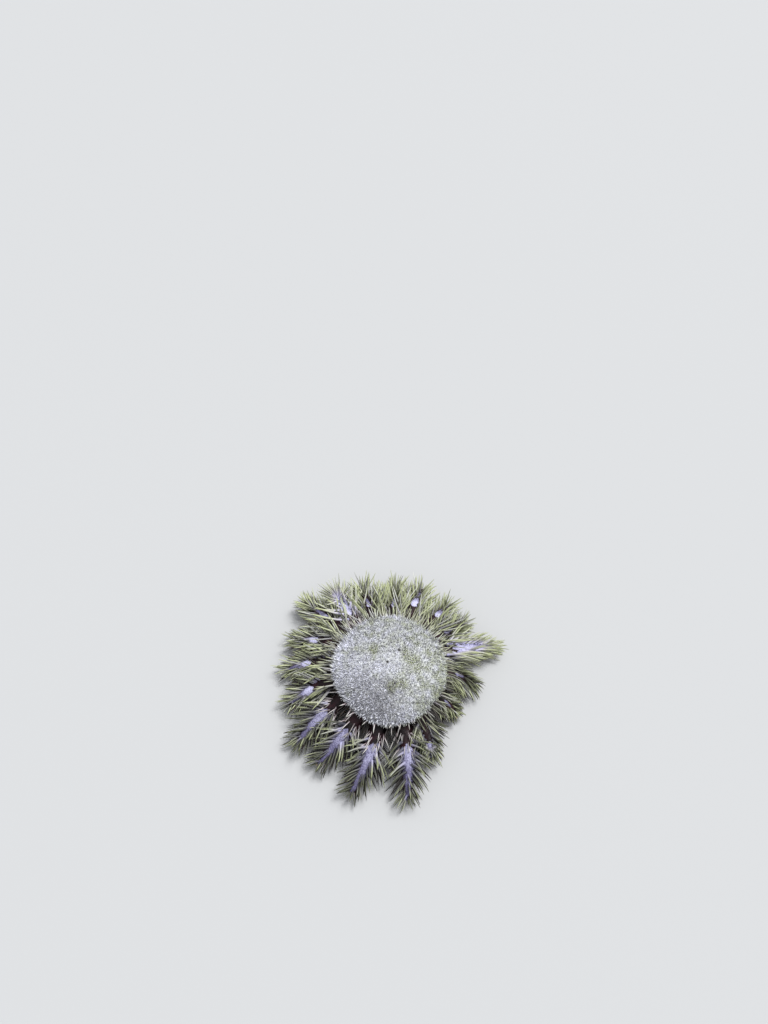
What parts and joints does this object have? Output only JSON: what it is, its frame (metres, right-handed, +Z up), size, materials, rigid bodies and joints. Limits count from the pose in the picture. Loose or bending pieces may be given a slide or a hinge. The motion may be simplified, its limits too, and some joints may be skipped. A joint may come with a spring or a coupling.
{
  "type": "crown of thorns starfish",
  "caption": "Life-size still model of a spiny sea star resting on its tube feet, for display or as a reef prop.",
  "frame": {"origin": "middle of the bounding box, at the level of the floor under the tube feet", "axes": "+Z up from the floor, +X to the right and +Y away from the side that the picture's camera is on"},
  "size_m": [0.2994, 0.3064, 0.062],
  "materials": {
    "disc_skin": "pale grey granular skin, matt and damp",
    "arm_skin": "lavender grey along the top, dark maroon at the sides and towards the disc, damp",
    "mouth_skin": "pale buff soft skin, damp",
    "spines": "pinkish lavender at the root to olive green at the tip, thin skin over chalk",
    "papulae": "fine pale bristles and buds, matt",
    "tube_feet": "translucent buff soft skin, damp"
  },
  "bodies": {
    "root": {"disc": "disc_skin", "mouth": "mouth_skin", "arm_01": "arm_skin", "arm_02": "arm_skin", "arm_03": "arm_skin", "arm_04": "arm_skin", "arm_05": "arm_skin", "arm_06": "arm_skin", "arm_07": "arm_skin", "arm_08": "arm_skin", "arm_09": "arm_skin", "arm_10": "arm_skin", "arm_11": "arm_skin", "arm_12": "arm_skin", "arm_13": "arm_skin", "arm_14": "arm_skin", "arm_15": "arm_skin", "arm_16": "arm_skin", "arm_17": "arm_skin", "arm_18": "arm_skin"}
  },
  "joints": []
}
